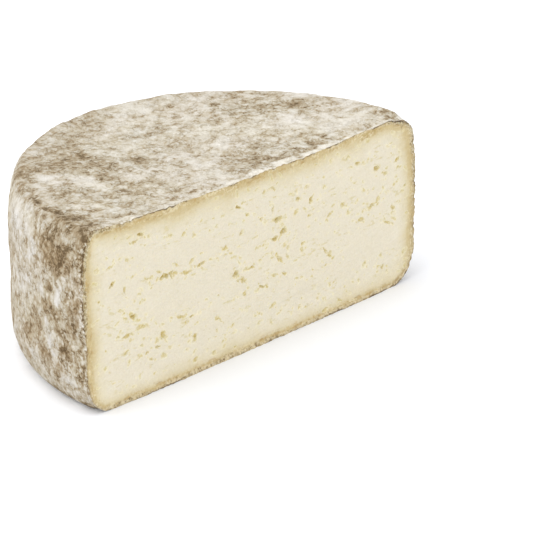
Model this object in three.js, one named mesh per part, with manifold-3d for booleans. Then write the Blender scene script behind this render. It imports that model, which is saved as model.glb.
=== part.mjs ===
import * as THREE from "three";
import { ImprovedNoise } from "three/addons/math/ImprovedNoise.js";
import { mergeVertices } from "three/addons/utils/BufferGeometryUtils.js";
import Module from "manifold-3d";

// Half a wheel of tomme crayeuse, a mould-ripened mountain cheese. It stands on its flat base with the
// cut face towards -Y. The knife went a little in front of the wheel's middle, so the piece is more than
// half. Millimetres, +Z up. The origin is on the wheel's own axis, at the base.

// The wheel
const wheelRadius = 90;
const wheelHeight = 73.5; // at the rim, from the base
const topDish = 2.1; // how far the top has sunk at the middle
const cutInFront = 9.4; // from the wheel's axis to the cut face

// The wheel's rounded edges: how far each reaches in from the side and along the side,
// towards the cut face's left end, the back and the cut face's right end
const topEdge = {
  left: { inward: 5.9, along: 19.2 },
  back: { inward: 4.8, along: 24.5 },
  right: { inward: 7, along: 21.4 },
};
const baseEdge = {
  left: { inward: 8.8, along: 18.4 },
  back: { inward: 3.8, along: 7.3 },
  right: { inward: 14, along: 15.6 },
};

// Steps of the wheel's surface
const stepsRound = 128;
const topSteps = 15;
const edgeSteps = 7;
const sideSteps = 6;

// The rind's relief: wide dents left by the draining cloth and the shelf, then lumps of the crust
const reliefLayers = [
  { depth: 0.5, across: 34 },
  { depth: 0.5, across: 13 },
];
const layerShift = 17.3; // moves each layer's noise on, so that the layers don't repeat each other
const baseFade = 9; // height above the flat base over which the relief sets in
const rimStart = 0.8; // share of the radius from which the relief stands outwards rather than up

// The openings in the paste that show best on the cut face: place across from the axis, height above the
// base, length, width, and tilt in degrees from level, anticlockwise as seen from the front
const mainOpenings = [
  [-61, 65.5, 3.6, 1.9, -12], [-64.5, 63, 4, 1.6, -8], [-76.5, 49.8, 3.2, 2, 15],
  [-82.8, 45.3, 2, 1.6, 0], [-50.5, 45.2, 6.6, 1.9, 2], [-46.6, 44.4, 2.6, 2.4, 60],
  [-38, 43, 4.6, 1.7, -12], [-30.5, 43.8, 5.6, 2.1, 12], [-59, 47.6, 3.4, 1.5, -18],
  [-66, 34.2, 3.6, 1.8, -45], [-62.3, 28.7, 3, 1.7, -8], [-69, 27, 4.2, 1.8, -10],
  [-59.5, 16.7, 2.1, 1.8, 0], [-54.5, 17, 2.9, 1.6, 0], [-51.5, 21.6, 3.6, 2.1, -22],
  [-42, 25.4, 4.4, 1.7, -14], [-36.6, 24, 3.8, 1.8, 20], [-34.5, 14.8, 3.4, 2.2, 25],
  [-17.8, 46.5, 2.8, 1.6, -18], [-11, 61.8, 3, 1.7, -14], [10.3, 50, 4.9, 3.2, -10],
  [8.3, 42.2, 3.6, 2, -10], [13.6, 44, 3.8, 2.6, 25], [-13, 33.6, 2.7, 3.2, 0],
  [-3.8, 34.3, 3.4, 1.8, -16], [-8, 29, 3.8, 1.8, -58], [1.5, 24.4, 3.8, 1.5, -28],
  [11.3, 32.3, 4, 1.7, -38], [28.8, 52.6, 2.4, 3, 20], [66.3, 55, 2.3, 2.3, 40], [38, 28, 5, 1.9, -50],
  [63.5, 40, 4.2, 1.7, 18],
];
const mainDepth = 0.75; // of an opening's width

// The smaller openings between them, scattered by a seeded draw
const smallOpenings = { count: 46, shortest: 1.7, longest: 3, slimmest: 0.55, roundest: 0.8, depth: 1.1 };
const smallTilt = { lowest: -60, highest: 30 };
const fromRind = 7;
const apart = 5.2;
const drawSeed = 411;

// Every opening is a lump pressed out of round, with its middle a little behind the cut
const lumpUnevenness = 0.45;
const lumpFrequency = 1.7;
const behindCut = 0.1; // of the opening's depth

const cheeseColour = 0xe6dcc0;

const noise = new ImprovedNoise();

function smoothstep(from, to, value) {
  return THREE.MathUtils.smoothstep(value, from, to);
}

// How far the rind stands out of its smooth form at a point
function reliefAt(x, y, z) {
  let height = 0;
  reliefLayers.forEach(({ depth, across }, layer) => {
    const shift = layerShift * (layer + 1);
    height += depth * noise.noise(x / across + shift, y / across - shift, z / across + shift);
  });
  return height * smoothstep(0, baseFade, z);
}

// The rounding of an edge in a given direction from the axis, between its left, back and right values
function edgeTowards(edge, angle) {
  const end = Math.cos(angle) < 0 ? edge.left : edge.right;
  const share = Math.sin(angle) ** 2;
  return {
    inward: THREE.MathUtils.lerp(end.inward, edge.back.inward, share),
    along: THREE.MathUtils.lerp(end.along, edge.back.along, share),
  };
}

// Height of the dished top at a distance from the axis
function topHeight(radius, flatRadius) {
  return wheelHeight - topDish * (1 - (radius / flatRadius) ** 2);
}

// The wheel's outline in one direction, from the middle of the base to the middle of the top
function outlineTowards(angle) {
  const top = edgeTowards(topEdge, angle);
  const base = edgeTowards(baseEdge, angle);
  const flatRadius = wheelRadius - top.inward;
  const points = [];
  for (let i = 0; i < topSteps; i++) {
    const radius = (flatRadius * i) / topSteps;
    points.push(new THREE.Vector2(radius, topHeight(radius, flatRadius)));
  }
  for (let i = 0; i <= edgeSteps; i++) {
    const turn = (Math.PI / 2) * (i / edgeSteps);
    const radius = flatRadius + top.inward * Math.sin(turn);
    points.push(new THREE.Vector2(radius, wheelHeight - top.along * (1 - Math.cos(turn))));
  }
  for (let i = 1; i < sideSteps; i++) {
    const height = THREE.MathUtils.lerp(wheelHeight - top.along, base.along, i / sideSteps);
    points.push(new THREE.Vector2(wheelRadius, height));
  }
  for (let i = 0; i <= edgeSteps; i++) {
    const turn = (Math.PI / 2) * (i / edgeSteps);
    const radius = wheelRadius - base.inward * (1 - Math.cos(turn));
    points.push(new THREE.Vector2(radius, base.along * (1 - Math.sin(turn))));
  }
  points.push(new THREE.Vector2(0, 0));
  return points.reverse();
}

// The whole wheel: a lathed form whose rings are then set to each direction's outline and given relief
function wheelGeometry() {
  const geometry = new THREE.LatheGeometry(outlineTowards(0), stepsRound);
  const position = geometry.getAttribute("position");
  const rowCount = outlineTowards(0).length;
  for (let i = 0; i < position.count; i++) {
    const ring = Math.floor(i / rowCount) % stepsRound;
    const angle = (2 * Math.PI * ring) / stepsRound;
    const point = outlineTowards(angle)[i % rowCount];
    const stand = reliefAt(point.x * Math.cos(angle), point.x * Math.sin(angle), point.y);
    const outward = smoothstep(rimStart, 1, point.x / wheelRadius);
    const upward = (1 - outward) * smoothstep(wheelHeight / 2, wheelHeight - topEdge.left.along, point.y);
    const radius = point.x + stand * outward;
    position.setXYZ(i, radius * Math.cos(angle), radius * Math.sin(angle), point.y + stand * upward);
  }
  return geometry;
}

// One opening: a lump of uneven form, longer than it is high, that the paste is hollowed by
function openingGeometry({ x, z, length, width, depth, tilt, detail }, order) {
  const geometry = new THREE.IcosahedronGeometry(1, detail);
  const position = geometry.getAttribute("position");
  const point = new THREE.Vector3();
  for (let i = 0; i < position.count; i++) {
    point.fromBufferAttribute(position, i);
    const sample = point.clone().multiplyScalar(lumpFrequency);
    point.multiplyScalar(1 + lumpUnevenness * noise.noise(sample.x + 3 * order, sample.y, sample.z - order));
    position.setXYZ(i, point.x, point.y, point.z);
  }
  geometry.scale(length / 2, depth, width / 2);
  geometry.rotateY(-THREE.MathUtils.degToRad(tilt));
  geometry.translate(x, -cutInFront + behindCut * depth, z);
  return geometry;
}

// The small openings: drawn places that keep clear of the rind and of every opening made before
function drawSmallOpenings(made) {
  const { count, shortest, longest, slimmest, roundest, depth } = smallOpenings;
  const halfFace = Math.sqrt(wheelRadius ** 2 - cutInFront ** 2);
  THREE.MathUtils.seededRandom(drawSeed);
  const draw = (low, high) => THREE.MathUtils.lerp(low, high, THREE.MathUtils.seededRandom());
  const drawn = [];
  while (drawn.length < count) {
    const x = draw(-halfFace + fromRind, halfFace - fromRind);
    const z = draw(fromRind, wheelHeight - topDish - fromRind);
    const length = draw(shortest, longest);
    const width = length * draw(slimmest, roundest);
    const tilt = draw(smallTilt.lowest, smallTilt.highest);
    const clear = [...made, ...drawn].every((other) => Math.hypot(other.x - x, other.z - z) > apart);
    if (clear) drawn.push({ x, z, length, width, depth, tilt, detail: 0 });
  }
  return drawn;
}

function allOpenings() {
  const main = mainOpenings.map(([x, z, length, width, tilt]) => {
    return { x, z, length, width, depth: mainDepth * width, tilt, detail: 1 };
  });
  return [...main, ...drawSmallOpenings(main)];
}

const wasm = await Module();
wasm.setup();

// A closed geometry as a solid that can be joined and cut
function solidFrom(geometry) {
  geometry.deleteAttribute("normal");
  geometry.deleteAttribute("uv");
  const merged = mergeVertices(geometry, 1e-4);
  const mesh = new wasm.Mesh({
    numProp: 3,
    vertProperties: merged.getAttribute("position").array,
    triVerts: new Uint32Array(merged.index.array),
  });
  return new wasm.Manifold(mesh);
}

// And a solid's faces as a geometry, with flat shading
function geometryFrom(solid) {
  const mesh = solid.getMesh();
  const geometry = new THREE.BufferGeometry();
  geometry.setAttribute("position", new THREE.BufferAttribute(mesh.vertProperties, 3));
  geometry.setIndex(new THREE.BufferAttribute(mesh.triVerts, 1));
  const flat = geometry.toNonIndexed();
  flat.computeVertexNormals();
  return flat;
}

// The block in front of the cut, which the knife takes away
function cutAwayGeometry() {
  const size = 3 * wheelRadius;
  const block = new THREE.BoxGeometry(size, size, size);
  block.translate(0, -cutInFront - size / 2, 0);
  return block;
}

function halfWheelGeometry() {
  let cheese = solidFrom(wheelGeometry());
  cheese = cheese.subtract(solidFrom(cutAwayGeometry()));
  allOpenings().forEach((opening, order) => {
    cheese = cheese.subtract(solidFrom(openingGeometry(opening, order)));
  });
  return geometryFrom(cheese);
}

const cheeseMaterial = new THREE.MeshStandardMaterial({ color: cheeseColour, roughness: 0.7, metalness: 0 });

const halfWheel = new THREE.Mesh(halfWheelGeometry(), cheeseMaterial);
halfWheel.name = "half_wheel";

const tomme = new THREE.Group();
tomme.add(halfWheel);

export default tomme;
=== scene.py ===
import math
import random
from collections import namedtuple

import bmesh
import bpy
from mathutils import Color, Euler, Matrix, Vector, noise
from mathutils.kdtree import KDTree


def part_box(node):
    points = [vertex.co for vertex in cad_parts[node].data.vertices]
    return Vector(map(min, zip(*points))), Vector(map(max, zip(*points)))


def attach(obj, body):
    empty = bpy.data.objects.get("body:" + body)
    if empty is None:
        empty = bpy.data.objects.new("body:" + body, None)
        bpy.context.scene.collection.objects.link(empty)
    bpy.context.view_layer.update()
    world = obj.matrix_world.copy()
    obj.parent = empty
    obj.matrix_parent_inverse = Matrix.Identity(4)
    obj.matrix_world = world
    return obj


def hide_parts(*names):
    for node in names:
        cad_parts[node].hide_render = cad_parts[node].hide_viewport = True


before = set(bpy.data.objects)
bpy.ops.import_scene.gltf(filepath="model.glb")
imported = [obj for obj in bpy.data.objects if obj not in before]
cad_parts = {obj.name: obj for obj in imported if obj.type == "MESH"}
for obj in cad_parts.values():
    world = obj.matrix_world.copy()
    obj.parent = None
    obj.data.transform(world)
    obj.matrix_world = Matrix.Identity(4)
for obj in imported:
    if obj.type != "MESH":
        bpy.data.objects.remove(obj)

# Half a wheel of tomme crayeuse: one closed mesh, of ivory paste at the cut and mould rind elsewhere.
# Shapes are worked out in millimetres and brought to metres at the end.

mm = 0.001
tiny = 1e-6  # a smaller length or share counts as none
noise.seed_set(5)  # else noise vectors change with the clock
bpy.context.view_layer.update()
cheeseLow, cheeseHigh = (Vector(corner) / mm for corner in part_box("half_wheel"))
print("Frame loaded, half wheel", [round(side, 1) for side in cheeseHigh - cheeseLow], "mm")


# Camera, floor and light

viewPoint = {
    "azimuth": -44.94,  # degrees, 0 looks along +Y
    "elevation": 23.63,
    "roll": -0.61,
    "distance": 1018.5,  # mm, as the target and the lens
    "target": (17.1, 2.0, 23.0),
    "lens": 171.4,
    "sensor": 36,
}

studio = {
    "world": 1.1,
    "key": 1.4,
    "keySpread": 60,  # degrees across, for soft shadows
    "keyAzimuth": -115,
    "keyElevation": 60,
    "level": 1.135,  # how bright a white surface shows, which tint makes up for
    "floorSide": 5000,
    "floor": (0.868, 0.88, 0.912),
}


def towards(azimuth, elevation):
    turn, lift = math.radians(azimuth), math.radians(elevation)
    return Vector((math.sin(turn) * math.cos(lift), -math.cos(turn) * math.cos(lift), math.sin(lift)))


def placeCamera(view):
    camera = bpy.data.objects.new("camera", bpy.data.cameras.new("camera"))
    bpy.context.collection.objects.link(camera)
    camera.data.sensor_width = view["sensor"]
    camera.data.lens = view["lens"]
    back = towards(view["azimuth"], view["elevation"])
    look = (-back).to_track_quat("-Z", "Y").to_matrix()
    look = look @ Matrix.Rotation(math.radians(view["roll"]), 3, "Z")
    place = (Vector(view["target"]) + back * view["distance"]) * mm
    camera.matrix_world = Matrix.Translation(place) @ look.to_4x4()
    bpy.context.scene.camera = camera


def lightStudio(light):
    scene = bpy.context.scene
    scene.view_settings.view_transform = "Standard"
    scene.world = scene.world or bpy.data.worlds.new("studio")
    scene.world.use_nodes = True
    sky = scene.world.node_tree.nodes["Background"]
    sky.inputs["Color"].default_value = (1, 1, 1, 1)
    sky.inputs["Strength"].default_value = light["world"]
    key = bpy.data.objects.new("key light", bpy.data.lights.new("key light", "SUN"))
    bpy.context.collection.objects.link(key)
    key.data.energy = light["key"]
    key.data.angle = math.radians(light["keySpread"])
    back = towards(light["keyAzimuth"], light["keyElevation"])
    key.rotation_mode = "QUATERNION"
    key.rotation_quaternion = (-back).to_track_quat("-Z", "Y")


# Shaders: arithmetic on wires adds Math nodes, and every other node comes from Shader.node

class Wire:
    def __init__(self, shader, socket):
        self.shader = shader
        self.socket = socket

    def math(self, operation, *values):
        return self.shader.node("Math", {"operation": operation}, dict(enumerate(values)))

    def __add__(self, other):
        return self.math("ADD", self, other)

    def __radd__(self, other):
        return self.math("ADD", other, self)

    def __sub__(self, other):
        return self.math("SUBTRACT", self, other)

    def __rsub__(self, other):
        return self.math("SUBTRACT", other, self)

    def __mul__(self, other):
        return self.math("MULTIPLY", self, other)

    def __rmul__(self, other):
        return self.math("MULTIPLY", other, self)

    def __truediv__(self, other):
        return self.math("DIVIDE", self, other)

    def __abs__(self):
        return self.math("ABSOLUTE", self)

    # 0 at low, 1 at high, eased between them and held beyond
    def rising(self, low, high):
        values = {"Value": self, "From Min": low, "From Max": high}
        return self.shader.node("MapRange", {"interpolation_type": "SMOOTHSTEP"}, values)

    # 1 from low to high, eased off over a margin on both sides
    def between(self, low, high, margin):
        return self.rising(low - margin, low) * (1 - self.rising(high, high + margin))


class Shader:
    def __init__(self, name):
        self.material = bpy.data.materials.new(name)
        self.material.use_nodes = True
        self.tree = self.material.node_tree
        self.tree.nodes.clear()

    # A node's settings are set first, then its sockets' values or links
    def node(self, kind, settings=None, inputs=None, output=0):
        made = self.tree.nodes.new("ShaderNode" + kind)
        for name, value in (settings or {}).items():
            if name == "stops":
                setStops(made.color_ramp.elements, value)
            else:
                setattr(made, name, value)
        for key, value in (inputs or {}).items():
            if isinstance(value, Wire):
                self.tree.links.new(value.socket, made.inputs[key])
            else:
                made.inputs[key].default_value = value
        return Wire(self, made.outputs[output]) if made.outputs else None

    # Object coordinates in millimetres
    def place(self):
        spot = self.node("TexCoord", output="Object")
        return self.node("VectorMath", {"operation": "SCALE"}, {0: spot, "Scale": 1 / mm})

    def axis(self, spot, name):
        return self.node("SeparateXYZ", inputs={0: spot}, output=name)

    def attribute(self, name):
        return self.node("Attribute", {"attribute_name": name}, output="Fac")

    # Cloudy values round 0, with features about this many millimetres across
    def clouds(self, spot, across, detail=2.0, roughness=0.5, distortion=0.0):
        values = {"Vector": spot, "Scale": 1 / across, "Detail": detail}
        values |= {"Roughness": roughness, "Distortion": distortion}
        return self.node("TexNoise", inputs=values) - 0.5

    # Clouds of several sizes, each with its strength first, added up
    def layers(self, spot, layers):
        return sum(self.clouds(spot, *kind) * strength for strength, *kind in layers)

    # Rounded grains, from 0 in their middles to about 1 in the gaps between them
    def grains(self, spot, across):
        values = {"Vector": spot, "Scale": 1 / across, "Smoothness": 0.35}
        return self.node("TexVoronoi", {"feature": "SMOOTH_F1"}, values, "Distance")

    # A place moved about by noise
    def stirred(self, spot, across, reach):
        values = {"Vector": spot, "Scale": 1 / across, "Detail": 1.0}
        drift = self.node("TexNoise", inputs=values, output="Color")
        centred = self.node("VectorMath", {"operation": "SUBTRACT"}, {0: drift, 1: (0.5, 0.5, 0.5)})
        moved = self.node("VectorMath", {"operation": "SCALE"}, {0: centred, "Scale": 2 * reach})
        return self.node("VectorMath", {"operation": "ADD"}, {0: spot, 1: moved})

    # A place that draws noise out into streaks, by their tilt in degrees and how many times longer they get
    def streaked(self, spot, tilt, along):
        settings = {"vector_type": "POINT"}
        turned = self.node("Mapping", settings, {"Vector": spot, "Rotation": (0, math.radians(tilt), 0)})
        return self.node("Mapping", settings, {"Vector": turned, "Scale": (1 / along, 1, 1)})

    def ramp(self, value, stops):
        return self.node("ValToRGB", {"stops": stops}, {0: value}, "Color")

    def mix(self, share, first, second, blend="MIX"):
        settings = {"data_type": "RGBA", "blend_type": blend}
        return self.node("Mix", settings, {0: share, 6: first, 7: second}, 2)

    def bump(self, height, distance):
        return self.node("Bump", inputs={"Height": height, "Distance": distance * mm})

    def finish(self, inputs):
        surface = self.node("BsdfPrincipled", inputs=inputs)
        self.node("OutputMaterial", inputs={"Surface": surface})
        return self.material


def setStops(elements, stops):
    while len(elements) < len(stops):
        elements.new(1.0)
    for element, (position, colour) in zip(elements, stops):
        element.position = position
        element.color = colour


# A colour as it shows on a screen in the studio's light, from 0 to 255, as the values that shaders take
def tint(red, green, blue):
    shown = Color((red / 255, green / 255, blue / 255)).from_srgb_to_scene_linear()
    return (*(level / studio["level"] for level in shown), 1.0)


def tinted(stops):
    return [(position, tint(*colour)) for position, colour in stops]


# The wheel's form

wheel = {
    "radius": 90.0,
    "height": 73.5,
    "dish": 2.1,  # the top's sag at its middle
    # How far the roundings reach in from the side and along it, by direction from the axis
    "topEdge": {"left": (5.9, 19.2), "back": (4.8, 24.5), "right": (7.0, 21.4)},
    "baseEdge": {"left": (8.8, 18.4), "back": (3.8, 7.3), "right": (14.0, 15.6)},
    "baseRows": 0.27,  # share of the side's rows on each rounding
    "topRows": 0.33,
}

meshSteps = {
    "across": 152,
    "back": 76,
    "up": 70,
    "baseCoarser": 4,
    "denserFront": 1.3,  # power that draws the rows towards the cut
    "eyeMargin": 0.7,  # mm round an eye that the finest faces reach
    "merge": 1e-4,  # on the box that the cheese is made from
}

cutDepth = -cheeseLow.y  # the cut lies this far in front of the wheel's axis


# From the middle of the cut, in a direction, to a circle round the wheel's axis
def reachTo(turn, radius):
    return cutDepth * math.sin(turn) + math.sqrt(radius**2 - (cutDepth * math.cos(turn)) ** 2)


# The rounding of an edge, in a direction from the middle of the cut
def rounding(edge, turn):
    reach = reachTo(turn, wheel["radius"])
    ahead = reach * math.sin(turn) - cutDepth
    share = (ahead / wheel["radius"]) ** 2
    end = edge["left"] if math.cos(turn) < 0 else edge["right"]
    return [size + (back - size) * share for size, back in zip(end, edge["back"])]


# Radius and height of the side in a direction, rise being 0 at the base and 1 at the top
def sideOutline(turn, rise):
    topIn, topAlong = rounding(wheel["topEdge"], turn)
    baseIn, baseAlong = rounding(wheel["baseEdge"], turn)
    radius, height = wheel["radius"], wheel["height"]
    topFrom = 1 - wheel["topRows"]
    if rise < wheel["baseRows"]:
        bend = math.pi / 2 * (1 - rise / wheel["baseRows"])
        return radius - baseIn * (1 - math.cos(bend)), baseAlong * (1 - math.sin(bend))
    if rise > topFrom:
        bend = math.pi / 2 * (rise - topFrom) / wheel["topRows"]
        return radius - topIn * (1 - math.cos(bend)), height - topAlong * (1 - math.sin(bend))
    share = (rise - wheel["baseRows"]) / (topFrom - wheel["baseRows"])
    return radius, baseAlong + (height - topAlong - baseAlong) * share


# How far out a point of a box 2 wide and 1 deep lies, and in which direction it goes on the wheel
def outAndTurn(across, back):
    out = max(abs(across), back)
    if out < tiny:
        return 0.0, math.pi / 2
    if back > out - tiny:
        return out, math.pi / 4 * (2 - across / out)
    if across > 0:
        return out, math.pi / 4 * (back / out)
    return out, math.pi / 4 * (4 - back / out)


# Where points of that box go on the base and the top, on the side and on the cut
def onFlat(across, back, rise):
    out, turn = outAndTurn(across, back)
    edge, _ = sideOutline(turn, rise)
    reach = out * reachTo(turn, edge)
    spot = Vector((reach * math.cos(turn), reach * math.sin(turn) - cutDepth, 0))
    if rise > 0.5:
        spot.z = wheel["height"] - wheel["dish"] * (1 - (spot.length / edge) ** 2)
    return spot


def onSide(across, back, rise):
    _, turn = outAndTurn(across, back)
    radius, height = sideOutline(turn, rise)
    reach = reachTo(turn, radius)
    return Vector((reach * math.cos(turn), reach * math.sin(turn) - cutDepth, height))


# The cut face spans its four edges
def onCut(across, rise):
    share = (across + 1) / 2
    low, high = onFlat(across, 0, 0), onFlat(across, 0, 1)
    left, right = onSide(-1, 0, rise), onSide(1, 0, rise)
    lowCorners = onFlat(-1, 0, 0).lerp(onFlat(1, 0, 0), share)
    highCorners = onFlat(-1, 0, 1).lerp(onFlat(1, 0, 1), share)
    return low.lerp(high, rise) + left.lerp(right, share) - lowCorners.lerp(highCorners, rise)


def onCheese(spot):
    across, back, rise = spot
    if back < tiny:
        return onCut(across, rise)
    back = back ** meshSteps["denserFront"]
    if rise < tiny or rise > 1 - tiny:
        return onFlat(across, back, round(rise))
    return onSide(across, back, rise)


# Openings of the paste, as seen on the cut. The tilt is in degrees anticlockwise, and the strength says
# how deep each is and how clearly it shows.

Eye = namedtuple("Eye", "x z length width tilt strength")
placedEyes = [
    (-60.9, 65.3, 3.2, 1.9, -10, 1), (-64.5, 63.5, 3.6, 1.4, 10, 0.7), (-67, 66.4, 2.4, 2.2, 0, 0.3),
    (-59.1, 61, 1.3, 1.3, 0, 0.5), (-78.1, 61, 1.8, 1.4, 0, 0.35), (-77, 56.9, 3.5, 1.7, 30, 0.45),
    (-67.7, 57.3, 2.9, 2, -50, 0.4), (-75.9, 49.9, 3.5, 1.9, 25, 0.9), (-82.7, 45.2, 1.6, 1.2, 0, 0.8),
    (-80.4, 43.1, 1.9, 1.2, -40, 0.4), (-69.9, 46, 1.6, 2.2, 0, 0.5), (-69.3, 42.4, 2.8, 1.3, -10, 0.4),
    (-58.4, 47.3, 3.8, 1.4, -30, 0.5), (-49.1, 45.1, 6.6, 1.6, 2, 1), (-46.1, 44.6, 2.2, 2.2, 0, 0.8),
    (-43.4, 47.3, 3.4, 1.4, -15, 0.4), (-39.6, 59, 2.6, 1.3, 0, 0.5), (-34, 57.3, 1.7, 2, 0, 0.4),
    (-39.1, 43.3, 6.2, 1.5, -10, 0.65), (-31, 44.2, 6, 1.8, 8, 0.7), (-65.9, 34.2, 3.8, 1.8, -45, 1),
    (-70.9, 36.4, 2.6, 1.3, 40, 0.4), (-69.1, 27.2, 5.4, 1.7, -8, 0.65), (-62.1, 28.9, 3.7, 1.3, 0, 0.65),
    (-67.4, 24.4, 2, 1.8, 0, 0.4), (-70, 20.3, 2.8, 1.5, 10, 0.65), (-64.1, 8.7, 2.1, 1.2, -30, 0.4),
    (-59.7, 16.9, 1.9, 1.6, 0, 0.8), (-54.3, 17.3, 3.1, 1.4, 0, 0.8), (-57.2, 13.5, 2.8, 1.7, -35, 0.45),
    (-51.6, 13.1, 3.6, 1.9, -60, 0.4), (-51.3, 21.4, 4.2, 2.5, -30, 0.65), (-42, 25.9, 5.6, 1.7, -18, 0.7),
    (-36.3, 24.6, 3.2, 1.7, 15, 0.7), (-34.9, 14.9, 3.6, 2.2, 30, 0.65), (-43.6, 14.4, 1.4, 1.1, 0, 0.4),
    (-35.2, 5.3, 2.3, 1.8, -30, 0.6), (-10.8, 61.4, 2.9, 1.6, -15, 0.9), (-7.9, 62.6, 2.1, 1.1, 0, 0.55),
    (-6.3, 57.1, 2.3, 1.4, -30, 0.6), (7.6, 63.5, 3.2, 1.6, -35, 0.6), (9.2, 59.6, 2.8, 1, 0, 0.45),
    (1.4, 52.8, 1.9, 1.4, 0, 0.7), (-0.1, 54, 1.5, 0.9, 0, 0.4), (-9.3, 50.4, 2, 2.2, 0, 0.55),
    (7.4, 54.2, 1.1, 3.2, 0, 0.4), (10.3, 50.1, 4.8, 2.8, -5, 0.85), (8.4, 42.4, 3.6, 1.8, -5, 1),
    (13.5, 43.9, 3.7, 2.4, 10, 0.9), (-18.1, 46.7, 2.6, 1.3, -12, 0.75), (-13.8, 41.7, 3.2, 1.2, -10, 0.45),
    (-0.2, 41.2, 3.5, 1.2, -10, 0.4), (-13.1, 36.6, 1.8, 1.1, 0, 0.5), (-12.9, 33.9, 2.4, 3.2, 0, 0.75),
    (-4, 34.4, 3.2, 1.5, -15, 0.95), (-8.6, 29.9, 4.2, 1.8, -45, 0.85), (6.9, 34.7, 2.5, 1.3, 0, 0.4),
    (11.2, 32.8, 4.2, 1.6, -45, 0.8), (24.4, 35.5, 2.1, 1.4, 0, 0.65), (8.1, 27.2, 2.8, 2, -30, 0.45),
    (13.5, 26.2, 2.8, 1.4, -20, 0.65), (1.4, 24.7, 3.5, 1.2, -25, 1), (-8.1, 24.6, 1.4, 2, 0, 0.45),
    (-22.6, 28.9, 1.1, 1.4, 0, 0.5), (-22.7, 18.5, 3.2, 1.6, -20, 0.6), (-21.3, 16.6, 2.8, 1.1, -25, 0.45),
    (-0.2, 13.1, 2.8, 1.1, -35, 0.45), (7.1, 14.6, 2.1, 1.7, 0, 0.6), (-6.1, 9.2, 1.5, 1.3, 0, 0.5),
    (0.5, 9.6, 2.1, 1.6, 0, 0.4), (21.6, 55.3, 1.7, 2.3, 0, 0.6), (20.9, 59.1, 1.3, 2.4, 0, 0.4),
    (28.9, 52.8, 2.8, 3, 0, 0.6), (-25.2, 4.9, 2.1, 1.7, 0, 0.5), (-14.1, 4.2, 1.8, 1.7, 0, 0.5),
    (31.7, 66.4, 1.4, 1.1, 0, 0.45), (55.5, 60.1, 3.5, 1.8, -8, 0.75), (61.9, 60.3, 2.6, 1.5, 45, 0.4),
    (66.4, 55.1, 2.6, 2.2, 40, 0.9), (78.7, 55.6, 2.8, 1.6, 0, 0.6), (72.1, 51.6, 2.8, 1.5, 0, 0.65),
    (59.4, 48.1, 3.5, 1.2, -15, 0.4), (47.3, 44.9, 4.8, 3, -20, 0.4), (39.8, 43, 4.3, 1.5, 30, 0.55),
    (59.4, 39, 2.4, 1.4, 0, 0.4), (64.1, 39.6, 4.2, 1.9, 20, 0.65), (67.3, 41.6, 3, 1.4, 30, 0.55),
    (79.4, 46.1, 2, 1.9, 0, 0.4), (84.1, 42.6, 1.5, 1.4, 0, 0.65), (57.6, 35.3, 3.4, 1.8, -30, 0.55),
    (76.9, 35.3, 2.5, 2.3, 0, 0.55), (73.4, 29.6, 4.6, 1.7, -20, 0.65), (37.1, 28.7, 3.2, 1.2, -60, 0.75),
    (39.4, 26, 3.2, 1.5, -40, 0.65), (41.6, 24.2, 2, 1.3, 0, 0.5), (37.3, 22.1, 3.4, 1.2, 20, 0.45),
    (60.1, 15.6, 3.8, 2.3, 45, 0.4), (69.4, 16.6, 2.4, 1.7, 0, 0.4), (70.5, 11.1, 3.5, 1.6, -10, 0.65),
    (83, 13.9, 2.8, 2.2, 45, 0.4), (36.2, 3.1, 2.4, 1.6, 0, 0.6), (39.4, 3.7, 1.8, 1.3, 0, 0.45),
    (45.5, 4, 3.1, 1.6, 0, 0.6),
]
eyes = {
    "depth": 0.55,  # of an eye's width, for the strongest
    "wall": (0.3, 1.2),  # how far out of an eye its depth eases off, 1 being its edge
    "halo": 1.5,  # how far out of an eye it still shows
    "ragged": ((2.6, 1.0), (1.0, 0.5)),  # how far across and how far their outlines wander
    "raggedShift": 20,
    "fine": 0.43,  # eyes at least this strong get the finest faces
    "crumbs": (1, 3),  # smaller holes that break up the ends of each placed eye
    "crumbAway": (0.4, 0.95),  # of the eye's length
    "crumbTurn": 40,  # degrees to either side of the eye's tilt
    "crumbSize": (0.3, 0.65),
    "crumbStrength": (0.35, 0.8),
    "showing": 0.65,  # power that lifts how the fainter eyes show
    "scattered": 430,  # faint marks between the placed ones
    "scatterLength": (0.9, 3.4),
    "scatterSlim": (0.3, 0.7),
    "scatterStrength": (0.16, 0.44),
    "scatterTilt": (-60, 30),
    "calm": ((-60, -15, 30, 41), (50, 85, 18, 30), (-60, -25, 49, 56)),  # x from and to, z from and to
    "calmEdge": 2,
    "apart": 1.9,
    "fromRind": 5,
    "seed": 27,
}


# 1 well inside the calm parts of the cut, 0 outside them
def calmAt(x, z):
    calm = 0.0
    for left, right, low, high in eyes["calm"]:
        inside = min(x - left, right - x, z - low, high - z)
        calm = max(calm, 1 - easeDown(inside, -eyes["calmEdge"], eyes["calmEdge"]))
    return calm


def scatterEyes():
    draw = random.Random(eyes["seed"])
    inset = eyes["fromRind"]
    made = []
    while len(made) < eyes["scattered"]:
        x = draw.uniform(cheeseLow.x + inset, cheeseHigh.x - inset)
        z = draw.uniform(cheeseLow.z + inset, cheeseHigh.z - inset)
        length = draw.uniform(*eyes["scatterLength"])
        slim = draw.uniform(*eyes["scatterSlim"])
        tilt = draw.uniform(*eyes["scatterTilt"])
        strength = draw.uniform(*eyes["scatterStrength"])
        calm = any(left < x < right and low < z < high for left, right, low, high in eyes["calm"])
        crowded = any(math.hypot(x - otherX, z - otherZ) < eyes["apart"]
                      for otherX, otherZ, *_ in placedEyes + made)
        if not (calm or crowded):
            made.append((x, z, length, length * slim, tilt, strength))
    return made


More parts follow.
